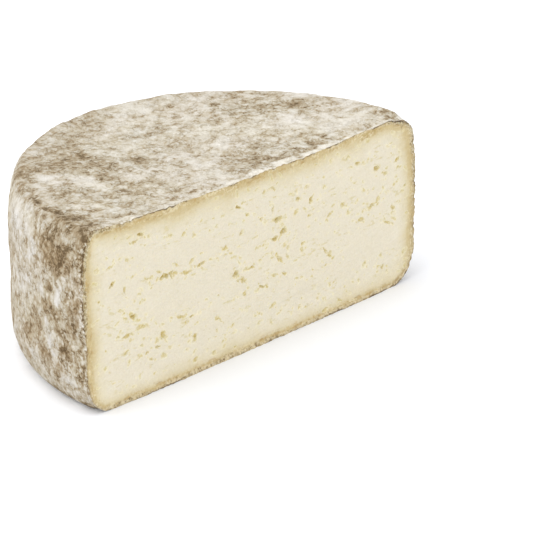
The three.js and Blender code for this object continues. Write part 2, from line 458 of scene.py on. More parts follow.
# The ends of the placed eyes crumble into smaller ones
def crumbledEyes():
    draw = random.Random(eyes["seed"] + 1)
    turnMost = eyes["crumbTurn"]
    made = []
    for x, z, length, _, tilt, strength in placedEyes:
        for _ in range(draw.randint(*eyes["crumbs"])):
            away = length * draw.uniform(*eyes["crumbAway"])
            turn = math.radians(tilt + draw.choice((0, 180)) + draw.uniform(-turnMost, turnMost))
            size = length * draw.uniform(*eyes["crumbSize"])
            slim = size * draw.uniform(*eyes["scatterSlim"])
            weaker = strength * draw.uniform(*eyes["crumbStrength"])
            spread = tilt + draw.uniform(-turnMost, turnMost)
            made.append((x + away * math.cos(turn), z + away * math.sin(turn), size, slim, spread, weaker))
    return made


class EyeField:
    def __init__(self):
        self.eyes = [Eye(*eye) for eye in placedEyes + crumbledEyes() + scatterEyes()]
        self.tree = KDTree(len(self.eyes))
        for order, eye in enumerate(self.eyes):
            self.tree.insert((eye.x, 0, eye.z), order)
        self.tree.balance()
        self.reach = max(eye.length for eye in self.eyes)

    # How far out of an eye a point of the cut lies, 1 being on its edge
    def outOf(self, eye, x, z):
        turn = math.radians(eye.tilt)
        across, up = math.cos(turn), math.sin(turn)
        x, z = x - eye.x, z - eye.z
        along, beside = x * across + z * up, z * across - x * up
        return math.hypot(along / (eye.length / 2), beside / (eye.width / 2))

    def near(self, x, z):
        return [self.eyes[order] for _, order, _ in self.tree.find_range((x, 0, z), self.reach)]

    def reaches(self, x, z, margin):
        return any(eye.strength >= eyes["fine"] and self.outOf(eye, x, z) < 1 + 2 * margin / eye.width
                   for eye in self.near(x, z))

    # Depth in millimetres, and how strongly an eye shows at the point, from 0 to 1
    def depthAt(self, x, z):
        near = self.near(x, z)
        if not near:
            return 0.0, 0.0
        for order, (across, reach) in enumerate(eyes["ragged"]):
            drift = noise.noise_vector(Vector((x, eyes["raggedShift"] * order, z)) / across) * reach
            x, z = x + drift.x, z + drift.z
        depth = shown = 0.0
        for eye in near:
            out = self.outOf(eye, x, z)
            depth = max(depth, easeDown(out, *eyes["wall"]) * eye.width * eye.strength * eyes["depth"])
            shown = max(shown, eye.strength ** eyes["showing"] * (1 - out / eyes["halo"]))
        return depth, shown


def easeDown(value, low, high):
    share = min(1, max(0, (high - value) / (high - low)))
    return share * share * (3 - 2 * share)


# Patches of the rind: brown crust where the strength is above 0, white mould where it is below.
# On the top by x and how far behind the cut, on the side by how far round from the cut's left end
# and the height. Then how far across and how strong.

topPatches = [
    (-43, 56, 24, 0.9), (-52, 61, 10, 0.6), (-36, 49, 12, 0.8), (-41, 65, 10, 0.7), (-32, 66, 8, 0.6),
    (-37, 76, 7, 0.6), (-22, 42, 10, 0.9), (-42, 37, 9, 0.9), (-63, 34, 12, 0.8), (-65, 63, 8, 0.9),
    (-75, 52, 10, 0.5), (-78, 41, 7, 0.9), (-83, 16, 14, 1), (-84, 4, 9, 1.1), (-80, 26, 8, 0.8),
    (-8, 62, 10, 0.5), (4, 61, 8, 0.7), (2, 68, 8, 0.5), (0, 44, 6, 0.6), (-8, 46, 8, 0.3),
    (8, 13, 14, 1), (15, 8, 8, 0.5), (21, 21, 9, 0.8), (-3, 9, 6, 0.6), (26, 11, 10, 0.5),
    (36, 4, 10, 0.9), (40, 56, 9, 0.8), (50, 52, 14, 0.7), (40, 67, 8, 0.7), (57, 46, 7, 0.5),
    (46, 8, 6, 0.6), (64, 42, 9, 0.8), (61, 33, 6, 0.9), (82, 6, 8, 1.1), (15, 73, 4, 0.7),
    (-12, 28, 8, 0.5), (-32, 17, 5, 0.7), (-48, 24, 7, 0.5), (-27, 82, 14, 0.5), (-10, 84, 12, 0.3),
    (-60, 14, 24, 0.25), (-62, 55, 9, -1.7), (-53, 43, 9, -0.9), (-50, 36, 6, -0.8), (-36, 32, 8, -0.6),
    (12, 33, 9, -1.1), (-6, 22, 11, -0.7), (-12, 11, 10, -0.6), (50, 29, 10, -1), (58, 17, 16, -0.7),
    (68, 12, 12, -0.5), (30, 36, 12, -0.4), (38, 76, 9, -0.8), (15, 84, 16, -0.8), (0, 77, 9, -0.5),
    (74, 50, 12, -0.8), (79, 30, 14, -0.4), (18, 50, 8, -0.5), (-68, 20, 10, -0.4),
]
sidePatches = [
    (19, 68, 15, 1), (18, 62, 9, 0.9), (14, 58, 7, 0.8), (24, 63, 7, 0.6), (10, 66, 7, 0.6),
    (8, 61, 5, 0.8), (1, 63, 6, 1), (1.5, 57, 5, 0.9), (3, 70, 6, 0.8), (19.5, 47, 4.5, 1),
    (19.5, 42, 4, 0.8), (4, 47, 6, 0.7), (24, 39.5, 7, 0.7), (15, 38, 7, 0.6), (9, 33, 6, 0.6),
    (14, 31, 5, 0.6), (33, 31, 9, 0.7), (38, 23, 8, 0.8), (30, 24.5, 4, 1.2), (11.5, 23, 5, 1),
    (8, 26, 4, 0.8), (26, 19, 6, 0.8), (16, 16, 6, 0.7), (41, 12.5, 6, 1.2), (5, 13, 7, 0.6),
    (50, 33, 5, 0.4), (57, 47, 7, 0.5), (55, 53, 6, 0.4), (42, 62, 5, 0.3), (30, 52, 8, 0.3),
    (13, 46, 9, -0.8), (25, 45, 6, -0.9), (33, 58, 7, -0.9), (5, 63, 3.5, -1), (46, 66, 18, -0.75),
    (38, 70, 10, -0.55), (55, 62, 10, -0.5), (37, 44, 7, -0.6), (22, 32, 4, -1), (21, 26, 4, -1),
    (20, 21, 4, -0.8), (57, 17, 9, -0.6), (34, 14, 8, -0.6), (11, 12, 6, -0.5), (5, 19, 5, -0.5),
    (47, 40, 24, -0.35), (5, 41, 14, 0.3), (5, 24, 12, 0.25),
]
# Those out of sight are drawn at random
hiddenPatches = {
    "count": 120,
    "along": (64, 298),
    "height": (5, 72),
    "across": (5, 15),
    "strength": (-0.9, 1.0),
    "seed": 12,
}

rind = {
    "dents": ((0.5, 34), (0.5, 13)),  # depth and how far across
    "crust": ((0.3, 5.0), (0.18, 2.2)),
    "baseFade": 9,  # height over which the relief sets in
    "patchStir": (7, 3.5),  # how far across and how far the patches' edges wander
    "patchUnder": 1,  # how far under the rim's height the top's patches have their middles
    "patchReach": 3,  # of half a patch's width
    "patchRange": (-1.2, 0.8),
    # A fold where the top meets the left side, by x and how far behind the cut
    "fold": ((-72, 49), (-74.4, 45.4), (-77.9, 38.9), (-80.9, 32.1), (-81.8, 27.5), (-80.5, 23)),
    "foldWidth": 1.4,
    "foldDepth": 0.6,
    "foldBelow": 6,  # no fold further under the rim's height
    "foldStir": 0.25,  # of the patches' wandering
}

rim = {
    "chips": ((0.4, 5.0), (0.5, 2.2), (0.4, 1.1)),  # depth and how far across
    # Worn corners: x and z of the middle, how far each reaches along the cut and behind it, and how deep
    "worn": ((83, 73.5, 9, 8, 2.2), (-84, 0, 8, 6, 0.7)),
    "rightChips": 1.6,  # how much deeper they are at the cut's right end
    "rightEnd": (60, 85),  # x from which they deepen, and up to which
    "proud": 0.3,  # how far the rim stands out before it is chipped
    "lip": 0.8,  # how far the base's crust stands out in front
    "lipHeight": (0.4, 2.8),  # it goes down to none between these heights
    "lipEnds": (55, 85),  # and between these distances from the middle
    "lipLumps": ((0.7, 5.0), (0.5, 1.8)),
    "follow": 9,  # how far in the cut's surface follows the rim
}

sunk = {
    "layers": ((0.12, 9), (0.07, 2.2)),  # how far the cut sinks between its eyes, and how far across
    "mean": 0.06,
    "fromRim": 1.5,
}

# Moves each kind of noise on, so that none repeats another
noiseShifts = {"lip": 2.9, "crust": 3.7, "chips": 5.3, "sunk": 7.1, "dents": 17.3}


def patchPoints():
    under = wheel["height"] - rind["patchUnder"]
    points = []
    for x, behind, across, strength in topPatches:
        points.append((Vector((x, behind - cutDepth, under)), across, strength))
    cutLeft = math.pi + math.asin(cutDepth / wheel["radius"])
    draw = random.Random(hiddenPatches["seed"])
    ranges = [hiddenPatches[name] for name in ("along", "height", "across", "strength")]
    drawn = [tuple(draw.uniform(*span) for span in ranges) for _ in range(hiddenPatches["count"])]
    for along, height, across, strength in sidePatches + drawn:
        turn = cutLeft - along / wheel["radius"]
        spot = Vector((wheel["radius"] * math.cos(turn), wheel["radius"] * math.sin(turn), height))
        points.append((spot, across, strength))
    return points


def layered(spot, layers, kind):
    shift = noiseShifts[kind]
    return sum(depth * noise.noise(spot / across + Vector((shift * order, 0, shift)))
               for order, (depth, across) in enumerate(layers, 1))


def wornAt(spot):
    worn = 0.0
    for x, z, along, behind, deep in rim["worn"]:
        away = math.hypot(spot.x - x, spot.z - z)
        worn = max(worn, deep * easeDown(away, 0, along) * easeDown(spot.y + cutDepth, 0, behind))
    return worn


def lipAt(spot):
    lumps = 1 + layered(Vector((spot.x, 0, spot.z)), rim["lipLumps"], "lip")
    return rim["lip"] * lumps * easeDown(spot.z, *rim["lipHeight"]) * easeDown(abs(spot.x), *rim["lipEnds"])


# 1 along the fold's line and 0 beyond its width
def foldAt(spot):
    if spot.z < wheel["height"] - rind["foldBelow"]:
        return 0.0
    flat = Vector((spot.x, spot.y + cutDepth))
    nearest = math.inf
    for start, end in zip(rind["fold"], rind["fold"][1:]):
        start, way = Vector(start), Vector(end) - Vector(start)
        share = min(1, max(0, (flat - start).dot(way) / way.length_squared))
        nearest = min(nearest, (flat - start - way * share).length)
    return easeDown(nearest, 0, rind["foldWidth"])


# Modelling

def boxGrids(body):
    across, back, up = meshSteps["across"], meshSteps["back"], meshSteps["up"]
    quarter = math.pi / 2
    coarser = meshSteps["baseCoarser"]

    def side(name, columns, rows, middle, turn, size):
        place = Matrix.Translation(middle) @ Euler(turn).to_matrix().to_4x4()
        place = place @ Matrix.Diagonal((*size, 1, 1))
        made = bmesh.ops.create_grid(body, x_segments=columns, y_segments=rows, size=1, matrix=place)
        faces = {face for vert in made["verts"] for face in vert.link_faces}
        for face in faces:
            face.material_index = int(name != "cut")
        return faces

    side("cut", across, up, (0, 0, 0.5), (quarter, 0, 0), (1, 0.5))
    side("back", across, up, (0, 1, 0.5), (quarter, 0, 0), (1, 0.5))
    side("left", back, up, (-1, 0.5, 0.5), (quarter, 0, quarter), (0.5, 0.5))
    side("right", back, up, (1, 0.5, 0.5), (quarter, 0, quarter), (0.5, 0.5))
    side("top", across, back, (0, 0.5, 1), (0, 0, 0), (1, 0.5))
    base = side("base", across, back // coarser, (0, 0.5, 0), (0, 0, 0), (1, 0.5))
    ends = [edge for face in base for edge in face.edges
            if edge.is_boundary and abs(edge.verts[0].co.x - edge.verts[1].co.x) < tiny]
    bmesh.ops.subdivide_edges(body, edges=list(set(ends)), cuts=coarser - 1)
    bmesh.ops.remove_doubles(body, verts=body.verts[:], dist=meshSteps["merge"])


def refine(body, faces):
    edges = {edge for face in faces for edge in face.edges}
    bmesh.ops.subdivide_edges(body, edges=list(edges), cuts=1, use_grid_fill=True)


def cutFaces(body):
    return [face for face in body.faces if face.material_index == 0]


def onRim(vert):
    return {face.material_index for face in vert.link_faces} == {0, 1}


# The patches' strengths added up at a point
def patchAt(spot, points):
    sums = 0.0
    for middle, across, strength in points:
        away = (spot - middle).length / (across / 2)
        if away < rind["patchReach"]:
            sums += strength * math.exp(-away * away)
    low, high = rind["patchRange"]
    return max(low, min(high, sums))


def shapeRind(body, patch, crust, fold):
    points = patchPoints()
    stirAcross, stirReach = rind["patchStir"]
    body.normal_update()
    moves = []
    for vert in body.verts:
        if all(face.material_index == 0 for face in vert.link_faces):
            continue
        spot = vert.co.copy()
        drift = noise.noise_vector(spot / stirAcross) * stirReach
        vert[patch] = patchAt(spot + drift, points)
        lumps = layered(spot, rind["crust"], "crust")
        vert[crust] = lumps
        vert[fold] = foldAt(spot + drift * rind["foldStir"])
        relief = layered(spot, rind["dents"], "dents") + lumps - rind["foldDepth"] * vert[fold]
        relief *= 1 - easeDown(spot.z, 0, rind["baseFade"])
        worn = wornAt(spot)
        out = vert.normal.copy()
        if onRim(vert):
            out.y = 0
            out.normalize()
            deeper = 1 + (rim["rightChips"] - 1) * (1 - easeDown(spot.x, *rim["rightEnd"]))
            proud = rim["proud"] * (1 - min(1, worn))
            relief += (proud - abs(layered(spot, rim["chips"], "chips"))) * deeper
        relief -= worn
        moves.append((vert, out * relief))
    for vert, move in moves:
        vert.co += move
        if onRim(vert):
            vert.co.y -= lipAt(vert.co)
        vert.co.z = max(vert.co.z, 0)


# The cut's surface follows its rim, and is hollowed by the eyes
def shapeCut(body, rimBefore, field, rindDepth, eyeDepth, calm):
    tree = KDTree(len(rimBefore))
    for order, (_, spot) in enumerate(rimBefore):
        tree.insert((spot.x, 0, spot.z), order)
    tree.balance()
    onItsRim = {vert for vert, _ in rimBefore}
    for vert in {vert for face in cutFaces(body) for vert in face.verts}:
        if vert in onItsRim:
            continue
        x, _, z = vert.co
        _, order, away = tree.find((x, 0, z))
        vert[rindDepth] = away
        depth, vert[eyeDepth] = field.depthAt(x, z)
        vert[calm] = calmAt(x, z)
        rimVert, spot = rimBefore[order]
        moved = rimVert.co - spot
        moved.y = 0
        vert.co += moved * easeDown(away, 0, rim["follow"])
        vert.co.y -= lipAt(vert.co)
        sinks = max(0, sunk["mean"] + layered(vert.co, sunk["layers"], "sunk"))
        vert.co.y += depth + sinks * min(1, away / sunk["fromRim"])


def buildCheese():
    body = bmesh.new()
    names = ("rindDepth", "eyeDepth", "calm", "patch", "crust", "fold")
    rindDepth, eyeDepth, calm, patch, crust, fold = (body.verts.layers.float.new(name) for name in names)
    boxGrids(body)
    for vert in body.verts:
        vert.co = onCheese(vert.co)
    bmesh.ops.recalc_face_normals(body, faces=body.faces[:])
    print("Half wheel mapped,", len(body.faces), "faces")
    refine(body, cutFaces(body))
    field = EyeField()
    margin = meshSteps["eyeMargin"]
    middles = [(face, face.calc_center_median()) for face in cutFaces(body)]
    refine(body, [face for face, middle in middles if field.reaches(middle.x, middle.z, margin)])
    print("Cut refined,", len(body.faces), "faces")
    rimBefore = [(vert, vert.co.copy()) for vert in body.verts if onRim(vert)]
    shapeRind(body, patch, crust, fold)
    shapeCut(body, rimBefore, field, rindDepth, eyeDepth, calm)
    for edge in body.edges:
        edge.smooth = len({face.material_index for face in edge.link_faces}) == 1
    for face in body.faces:
        face.smooth = True
    bmesh.ops.scale(body, vec=(mm, mm, mm), verts=body.verts[:])
    bmesh.ops.recalc_face_normals(body, faces=body.faces[:])
    mesh = bpy.data.meshes.new("cheese")
    body.to_mesh(mesh)
    body.free()
    mesh.calc_loop_triangles()
    print("Cheese shaped,", len(mesh.loop_triangles), "triangles")
    cheese = bpy.data.objects.new("cheese", mesh)
    bpy.context.collection.objects.link(cheese)
    return cheese


# Finishes. Noise is given as how far across its features are in mm, its detail and its roughness, and
# a layer of noise has its strength before them. Two numbers for a mask say where it starts and ends its
# rise from 0 to 1. Three say from where to where it holds, and its margin.

# Colours of the cut
paste = {
    "line": (106, 86, 58),  # the rind's dark skin, seen from its edge
    "tan": (140, 116, 76),  # the same, where it is thinner
    # at the cut's right end this darker band is painted shade; along the base it is darker too
    "dim": (180, 161, 120),  # the band where it is darker, at the right and below
    "crumb": (238, 226, 190),
    "speck": (192, 160, 98),
    "crease": (182, 150, 94),
    "tear": (222, 210, 166),
    # The eyes' colours are painted shade and bounce light in their hollows, darker for their deeper parts
    "eye": (223, 210, 162),
    "eyeDeepShade": (210, 187, 114),
    "core": (178, 152, 82),  # at the bottom of the deepest eyes
    "fringe": (249, 241, 206),  # round an eye
    "bits": (240, 226, 176),  # crumbs in the eyes
}

# Parts of the cut that differ
cutZones = {
    "low": (7, 1),  # height in mm
    "right": (70, 86),  # x in mm, as the next two
    "lowRight": (34, 56),
    "middle": (-80, 80, 5),  # between the two sides
    "bend": (6, 3.0, 0.6),  # noise that bends the crust's lines
    "broken": (4, 2.0),  # and that breaks them up
}


# Where a point of the cut lies, in mm, and how far it is in each zone
class CutPlace:
    def __init__(self, shader):
        self.spot = shader.place()
        self.x, self.z = (shader.axis(self.spot, name) for name in "XZ")
        self.depth = shader.attribute("rindDepth")
        self.low = self.z.rising(*cutZones["low"])
        self.right = self.x.rising(*cutZones["right"])
        self.lowRight = self.x.rising(*cutZones["lowRight"])
        self.sides = 1 - self.x.between(*cutZones["middle"])
        self.bend = shader.clouds(self.spot, *cutZones["bend"])
        self.broken = shader.clouds(self.spot, *cutZones["broken"])

    # 1 where all the ranges have risen, 0 where any of them has not begun
    def within(self, ranges):
        return math.prod(getattr(self, name).rising(*span) for name, span in ranges.items())


# The ripened band under the rind
band = {
    "stops": [  # colours by depth under the rind in mm
        (0.0, (196, 176, 134)),
        (0.7, (206, 185, 137)),
        (1.6, (209, 189, 140)),
        (2.6, (212, 194, 149)),
        (3.6, (220, 205, 165)),
        (4.8, (227, 215, 182)),
        (6.5, (231, 221, 193)),
        (10.0, (235, 227, 206)),
    ],
    "fibres": (1.0, 4.0, 0.65),
    "fibreLength": 5,
    "standing": (14, 56, 8),  # heights where the fibres stand upright
    "swell": ((1.3, 13, 2.0),),
    "fibreStir": 3,
    "stir": ((2, 1.8, 3.0, 0.6),),
    "stirDepth": (0.0, 2.0),
    "rightWider": 0.6,  # mm
    "lowNarrower": 1.5,
    "low": {"z": (12, 3), "depth": (1, 3)},
    "cornerWider": 1.1,  # at the upper right
    "corner": {"x": (60, 78), "z": (45, 60), "depth": (0.5, 2)},
    "dimShare": 0.7,
    "dimLow": 0.3,
    "dimLowRight": 0.6,
    "dimDepth": (3.6, 0.8),
    "dimMean": 0.75,
    "dimClouds": ((1.6, 2.6, 2.0),),
}


def bandFibres(shader, cut):
    lying, standing = (shader.clouds(shader.streaked(cut.spot, tilt, band["fibreLength"]), *band["fibres"])
                       for tilt in (0, 90))
    return lying + (standing - lying) * cut.z.between(*band["standing"])


def bandColour(shader, cut, fibres):
    stir = fibres * band["fibreStir"] + shader.layers(cut.spot, band["stir"])
    seen = cut.depth * (1 + shader.layers(cut.spot, band["swell"]))
    seen = seen + stir * cut.depth.rising(*band["stirDepth"])
    low, corner = (cut.within(band[name]) for name in ("low", "corner"))
    seen = seen - cut.right * band["rightWider"] + low * band["lowNarrower"] - corner * band["cornerWider"]
    deepest = band["stops"][-1][0]
    colour = shader.ramp(seen / deepest, tinted([(at / deepest, shown) for at, shown in band["stops"]]))
    # Painted shade on the band at the right end, and a darker band along the base
    dim = cut.right + cut.low * (band["dimLow"] + cut.lowRight * band["dimLowRight"])
    dim = dim * cut.depth.rising(*band["dimDepth"]) * band["dimShare"]
    dim = dim * (band["dimMean"] + shader.layers(cut.spot, band["dimClouds"]))
    return shader.mix(dim, colour, tint(*paste["dim"]))


# Golden and pale specks in the band
specks = {
    "fibreShare": 0.9,
    "layers": ((0.8, 1.0, 2.0, 0.6), (0.6, 7, 1.0)),
    "rightLess": 0.03,
    "rightX": (-20, 30),
    "golden": (0.06, 0.22),
    "pale": (-0.06, -0.22),
    "depth": (4.5, 1.2),
    "goldenShare": 0.75,
    "paleShare": 0.7,
}


# The colour with its specks, and the golden ones alone
def addSpecks(shader, cut, fibres, colour):
    flecks = fibres * specks["fibreShare"] + shader.layers(cut.spot, specks["layers"])
    flecks = flecks - cut.x.rising(*specks["rightX"]) * specks["rightLess"]
    near = cut.depth.rising(*specks["depth"])
    golden = flecks.rising(*specks["golden"]) * near
    pale = flecks.rising(*specks["pale"]) * near
    colour = shader.mix(golden * specks["goldenShare"], colour, tint(*paste["speck"]))
    return shader.mix(pale * specks["paleShare"], colour, tint(*paste["crumb"])), golden


# A broken crease where the crust meets the paste
crease = {
    "depth": 2.0,
    "wander": 5,
    "lowShallower": 0.6,
    "width": (0.8, 0.1),
    "gaps": 5,
    "lowFewer": 0.4,
    "kept": (0.1, 0.9),
    "share": 0.5,
}


def creaseLine(cut):
    middle = crease["depth"] + cut.bend * crease["wander"] - cut.low * crease["lowShallower"]
    kept = cut.broken * crease["gaps"] + cut.low * crease["lowFewer"]
    return abs(cut.depth - middle).rising(*crease["width"]) * kept.rising(*crease["kept"])


# Crumbs of crust outside the crease, at the corners and along the base
crumbs = {
    "stops": [(0.25, (140, 114, 72)), (0.42, (198, 176, 128)), (0.62, (240, 229, 197))],
    "lowStops": [(0.28, (148, 125, 88)), (0.44, (205, 187, 146)), (0.64, (232, 217, 180))],
    "lumps": (1.2, 3.0, 0.7),
    "lowLumps": (1.3, 4.0, 0.7),
    "contrast": 1.6,
    "left": {"x": (-60, -84), "z": (30, 44)},
    "right": {"x": (60, 80), "z": (30, 50)},
    "rightShare": 0.6,
    "sideShare": 0.3,
    "anywhere": 0.1,
    "shows": (0.05, 1),
    "depth": (1.4, 0.4),
    "wander": 4,
    "cornerDeeper": 0.8,
    "lowDeeper": 0.6,
    "relief": 6,
    "lowSmoother": 3.5,
}


# The colour with the crust's crumbs, and their relief
def addCrumbs(shader, cut, colour):
    left, right = (cut.within(crumbs[name]) for name in ("left", "right"))
    corner = left + right * crumbs["rightShare"]
    zones = corner + cut.low + cut.sides * crumbs["sideShare"] + crumbs["anywhere"]
    reach = cut.depth + cut.bend * crumbs["wander"]
    reach = reach - corner * crumbs["cornerDeeper"] - cut.low * crumbs["lowDeeper"]
    crusty = zones.rising(*crumbs["shows"]) * reach.rising(*crumbs["depth"])
    lumps = shader.clouds(cut.spot, *crumbs["lumps"])
    lumps = lumps + (shader.clouds(cut.spot, *crumbs["lowLumps"]) - lumps) * cut.low
    level = lumps * crumbs["contrast"] + 0.5
    high, low = (shader.ramp(level, tinted(crumbs[name])) for name in ("stops", "lowStops"))
    relief = crusty * lumps * (crumbs["relief"] - cut.low * crumbs["lowSmoother"])
    return shader.mix(crusty, colour, shader.mix(cut.low, high, low)), relief


# The rind's skin, a dark line round the cut that comes and goes
skin = {
    "edge": ((1.5, 1.4, 3.0, 0.6),),
    "depth": (0.75, 0.25),
    "tanEdge": ((2, 1.4, 3.0, 0.6),),
    "tanDepth": (1.0, 0.2),
    "tanLow": 0.5,
    "tanLowRight": 0.5,
    "tanZones": (0.1, 1),
    "tanMean": 0.6,
    "tanBroken": 3,
    "tanShare": 0.6,
    "dark": ((-66, -44, 3), (39, 49, 2), (66, 84, 3)),  # along x
    "darkShare": 0.5,
    "lowLess": 0.6,
    "leftLess": 0.9,
    "leftX": (-66, -80),
    "rightLess": 0.8,
    "rightX": (84, 88),
    "mean": 0.3,
    "clouds": ((3, 4, 3.0, 0.6),),
    "kept": (0.1, 0.9),
    "share": 0.9,
}


def addSkin(shader, cut, colour):
    tan = (cut.depth + shader.layers(cut.spot, skin["tanEdge"])).rising(*skin["tanDepth"])
    zones = cut.sides + cut.low * (skin["tanLow"] + cut.lowRight * skin["tanLowRight"])
    broken = skin["tanMean"] + cut.broken * skin["tanBroken"]
    tan = tan * zones.rising(*skin["tanZones"]) * broken.rising(0, 1)
    colour = shader.mix(tan * skin["tanShare"], colour, tint(*paste["tan"]))
    shows = sum(cut.x.between(*stretch) for stretch in skin["dark"])
    shows = shows - cut.low * (1 - cut.lowRight) * skin["lowLess"]
    shows = shows - cut.x.rising(*skin["leftX"]) * skin["leftLess"]
    shows = shows - cut.x.rising(*skin["rightX"]) * skin["rightLess"]
    kept = skin["mean"] + shader.layers(cut.spot, skin["clouds"]) + shows * skin["darkShare"]
    line = (cut.depth + shader.layers(cut.spot, skin["edge"])).rising(*skin["depth"])
    return shader.mix(line * kept.rising(*skin["kept"]) * skin["share"], colour, tint(*paste["line"]))


# A grainy spot under the rim, near the right
grainySpot = {
    "x": (57.5, 65.5, 2),
    "z": (66.7, 68.6, 1.0),
    "slope": 0.05,
    "size": 1.2,
    "clouds": ((1.4, 1.1, 3.0, 0.65),),
    "gaps": (0.45, 0.8),
    "middles": (0.4, 0.15),
    "toneShare": 0.12,
    "gapShare": 0.55,
    "middleShare": 0.75,
}


def addGrainySpot(shader, cut, colour):
    height = cut.z - cut.x * grainySpot["slope"]
    inside = cut.x.between(*grainySpot["x"]) * height.between(*grainySpot["z"])
    grains = shader.grains(cut.spot, grainySpot["size"]) + shader.layers(cut.spot, grainySpot["clouds"])
    colour = shader.mix(inside * grainySpot["toneShare"], colour, tint(*paste["crease"]))
    gaps = inside * grains.rising(*grainySpot["gaps"])
    colour = shader.mix(gaps * grainySpot["gapShare"], colour, tint(*paste["core"]))
    middles = inside * grains.rising(*grainySpot["middles"])
    return shader.mix(middles * grainySpot["middleShare"], colour, tint(*paste["crumb"]))


# Fine tears between the eyes
tears = {
    "tilt": -4,
    "length": 2.6,
    "noise": (1.3, 4.0, 0.65),
    "wide": ((0.5, 9, 2.0),),
    "shows": (0.09, 0.21),
    "depth": (3, 8),
    "calmed": 0.8,
    "share": 0.8,
    "relief": 0.12,
}


def tearMask(shader, cut):
    torn = shader.clouds(shader.streaked(cut.spot, tears["tilt"], tears["length"]), *tears["noise"])
    torn = torn + shader.layers(cut.spot, tears["wide"])
    lively = 1 - shader.attribute("calm") * tears["calmed"]
    return torn.rising(*tears["shows"]) * lively * cut.depth.rising(*tears["depth"])


# Eyes are ochre inside, as painted shade and bounce light of their hollows, darker towards the middles of
# the deeper ones, with crumbs, and have a pale fringe
eyeFinish = {
    "ragged": (1.0, 3.0, 0.65),
    "raggedInside": 3.4,
    "raggedEdge": 0.4,
    "edge": (0.05, 0.3),
    "fringe": (0.13, 0.24, 0.07),
    "fringeMean": 0.6,
    "fringeClouds": ((2, 2.0),),
    "fringeShare": 0.6,
    "deep": (0.4, 0.85),
    "core": (0.85, 1.2),
    "bits": (0.9, 2.0),
    "bitsShow": (0.06, 0.2),
    "bitsInside": (1.3, 0.9),
    "bitsShare": 0.5,
    "shows": (0.13, 0.4),
    "share": 0.95,
}


def addEyes(shader, cut, colour):
    ragged = shader.clouds(cut.spot, *eyeFinish["ragged"])
    inside = shader.attribute("eyeDepth")
    edge = ragged * eyeFinish["raggedEdge"] * inside.rising(*eyeFinish["edge"])
    inside = inside * (1 + ragged * eyeFinish["raggedInside"]) + edge
    fringe = eyeFinish["fringeMean"] + shader.layers(cut.spot, eyeFinish["fringeClouds"])
    fringe = fringe * inside.between(*eyeFinish["fringe"]) * eyeFinish["fringeShare"]
    colour = shader.mix(fringe, colour, tint(*paste["fringe"]))
    # Painted shade: the ochre darkens towards the middles of the deeper eyes
    ochre = shader.mix(inside.rising(*eyeFinish["deep"]), tint(*paste["eye"]), tint(*paste["eyeDeepShade"]))
    ochre = shader.mix(inside.rising(*eyeFinish["core"]), ochre, tint(*paste["core"]))
    bits = shader.clouds(cut.spot, *eyeFinish["bits"]).rising(*eyeFinish["bitsShow"])
    bits = bits * inside.rising(*eyeFinish["bitsInside"]) * eyeFinish["bitsShare"]
    ochre = shader.mix(bits, ochre, tint(*paste["bits"]))
    return shader.mix(inside.rising(*eyeFinish["shows"]) * eyeFinish["share"], colour, ochre)


# Flecks that lighten and darken the whole cut, painted light that makes the lower cut lighter where less
# light reaches it, and its relief
flesh = {
    "streaks": (0.8, 2.0, 0.55),
    "streakTilt": 12,
    "streakLength": 16,
    "flecks": ((0.28, 0.8, 3.0, 0.65), (0.06, 6, 2.0)),
    "streakFlecks": 0.1,
    # painted light: the lower cut made lighter, by how much and over which heights
    "paintedLightBelow": ((0.045, (50, 0)), (0.055, (16, 5))),  # how much, and over which heights
    "flecksAndPaintedLight": [(0.35, (0.86, 0.84, 0.78, 1)), (0.65, (1.07, 1.07, 1.08, 1))],
    "grain": ((0.6, 0.8, 3.0, 0.6), (0.6, 3.0, 2.0)),
    "streakGrain": 0.5,
    "creaseRelief": 0.6,
    "speckRelief": 0.2,
    "relief": 0.3,  # mm
}


def pasteMaterial():
    shader = Shader("ivory paste")
    cut = CutPlace(shader)
    fibres = bandFibres(shader, cut)
    colour = bandColour(shader, cut, fibres)
    colour, golden = addSpecks(shader, cut, fibres, colour)
    creased = creaseLine(cut)
    colour = shader.mix(creased * crease["share"], colour, tint(*paste["crease"]))
    colour, crumbRelief = addCrumbs(shader, cut, colour)
    colour = addSkin(shader, cut, colour)
    colour = addGrainySpot(shader, cut, colour)
    torn = tearMask(shader, cut)
    colour = shader.mix(torn * tears["share"], colour, tint(*paste["tear"]))
    colour = addEyes(shader, cut, colour)

    streaked = shader.streaked(cut.spot, flesh["streakTilt"], flesh["streakLength"])
    streaks = shader.clouds(streaked, *flesh["streaks"])
    flecks = shader.layers(cut.spot, flesh["flecks"]) + streaks * flesh["streakFlecks"] + 0.5
    # Painted light: the lower cut is made lighter, where less light reaches it
    for lighter, heights in flesh["paintedLightBelow"]:
        flecks = flecks + cut.z.rising(*heights) * lighter
    colour = shader.mix(1.0, colour, shader.ramp(flecks, flesh["flecksAndPaintedLight"]), "MULTIPLY")
    relief = shader.layers(cut.spot, flesh["grain"]) + streaks * flesh["streakGrain"] + crumbRelief
    relief = relief + golden * flesh["speckRelief"]
    relief = relief - creased * flesh["creaseRelief"] - torn * tears["relief"]
    return shader.finish({
        "Base Color": colour,
        "Roughness": 0.55,
        "Specular IOR Level": 0.3,
        "Subsurface Weight": 0.1,
        "Subsurface Radius": (1.0, 0.75, 0.4),
        "Subsurface Scale": 1.0 * mm,
        "Normal": shader.bump(relief, flesh["relief"]),
    })


# Parts of the rind that differ
rindZones = {
    "side": (71, 62),  # height in mm
    "low": (40, 15),
    "farTop": (25, 70),  # y in mm, as the next two
    "farSide": (8, 24),
    "beyond": (-2, 16),
}


